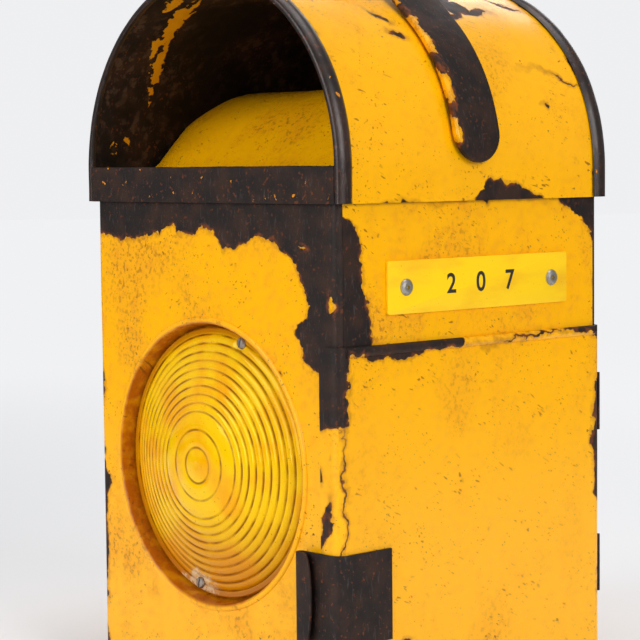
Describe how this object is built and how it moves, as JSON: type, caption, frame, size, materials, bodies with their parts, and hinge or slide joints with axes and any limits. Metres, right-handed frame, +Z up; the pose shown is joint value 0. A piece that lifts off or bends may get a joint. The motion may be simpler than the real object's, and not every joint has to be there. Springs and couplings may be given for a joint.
{
  "type": "road hazard lantern",
  "caption": "Square sheet-steel roadworks lantern with a round amber lens, vented vaulted hood, strap handle, hinged side door and oil burner inside.",
  "frame": {"origin": "centre of the base tray's underside", "axes": "+Z up; the lens faces -Y; the door and the name plate are on the +X side"},
  "size_m": [0.1994, 0.1974, 0.3827],
  "materials": {
    "yellow_paint": "chipped gloss paint over rusted steel",
    "bare_steel": "burnt and rusted steel, paint gone",
    "lens_amber": "moulded, ribbed, translucent",
    "plate_yellow": "engraved laminate",
    "rivet_alloy": "dull",
    "gasket_rubber": "matt",
    "plated_steel": "zinc plated, worn",
    "reflector_metal": "polished, slightly sooted",
    "tank_tinplate": "tinned, stained by oil",
    "burner_brass": "tarnished",
    "wick_cotton": "woven cotton"
  },
  "bodies": {
    "case": {"front_panel": "yellow_paint", "back_panel": "yellow_paint", "left_side_panel": "yellow_paint", "right_side_panel": "yellow_paint", "base_pan": "bare_steel", "flue_plate": "bare_steel", "roof_deflector": "yellow_paint", "hood_canopy": "yellow_paint", "hood_front_rim": "bare_steel", "hood_rear_rim": "bare_steel", "hood_header": "bare_steel", "hood_rear_plate": "yellow_paint", "hood_cleats": "bare_steel", "carry_handle": "bare_steel", "name_plate": "plate_yellow", "name_plate_rivets": "rivet_alloy", "lens": "lens_amber", "lens_gasket": "gasket_rubber", "lens_screws": "plated_steel", "lens_nuts": "plated_steel", "reflector": "reflector_metal", "reflector_bracket": "plated_steel", "tank_guides": "bare_steel", "tank_spring": "plated_steel", "tank_body": "tank_tinplate", "tank_lid": "tank_tinplate", "filler_neck": "tank_tinplate", "burner_collar": "burner_brass", "burner_base": "burner_brass", "wick_tube": "burner_brass", "flame_guard": "burner_brass", "hinge_fixed_leaves": "bare_steel", "hinge_pins": "plated_steel"},
    "door": {"door_skin": "yellow_paint", "hinge_moving_leaves": "bare_steel", "clasp_plate": "bare_steel"},
    "clasp": {"clasp_tongue": "bare_steel"},
    "filler_cap": {"filler_cap": "burner_brass"},
    "wick_winder": {"wick_spindle": "plated_steel", "wick_wheel": "plated_steel", "wick_knob": "burner_brass"},
    "wick": {"wick": "wick_cotton"}
  },
  "joints": [
    {"name": "door_hinge", "type": "hinge", "parent": "case", "child": "door", "pos_m": [0.0775, 0.0948, 0.0975], "axis": [0, 0, 1], "range_deg": [0, 105]},
    {"name": "clasp_flex", "type": "hinge", "parent": "door", "child": "clasp", "pos_m": [0.095, -0.088, 0.06175], "axis": [0, 0, 1], "range_deg": [0, 12], "stiffness_Nm_per_rad": 0.8, "springref_deg": -2.86},
    {"name": "filler_cap_lift", "type": "slide", "parent": "case", "child": "filler_cap", "axis": [0, 0, 1], "range_m": [0, 0.04]},
    {"name": "wick_turn", "type": "hinge", "parent": "case", "child": "wick_winder", "pos_m": [0, 0.0078, 0.076], "axis": [-1, 0, 0], "range_deg": [0, 130]},
    {"name": "wick_slide", "type": "slide", "parent": "case", "child": "wick", "axis": [0, 0, 1], "range_m": [0, 0.008]}
  ]
}
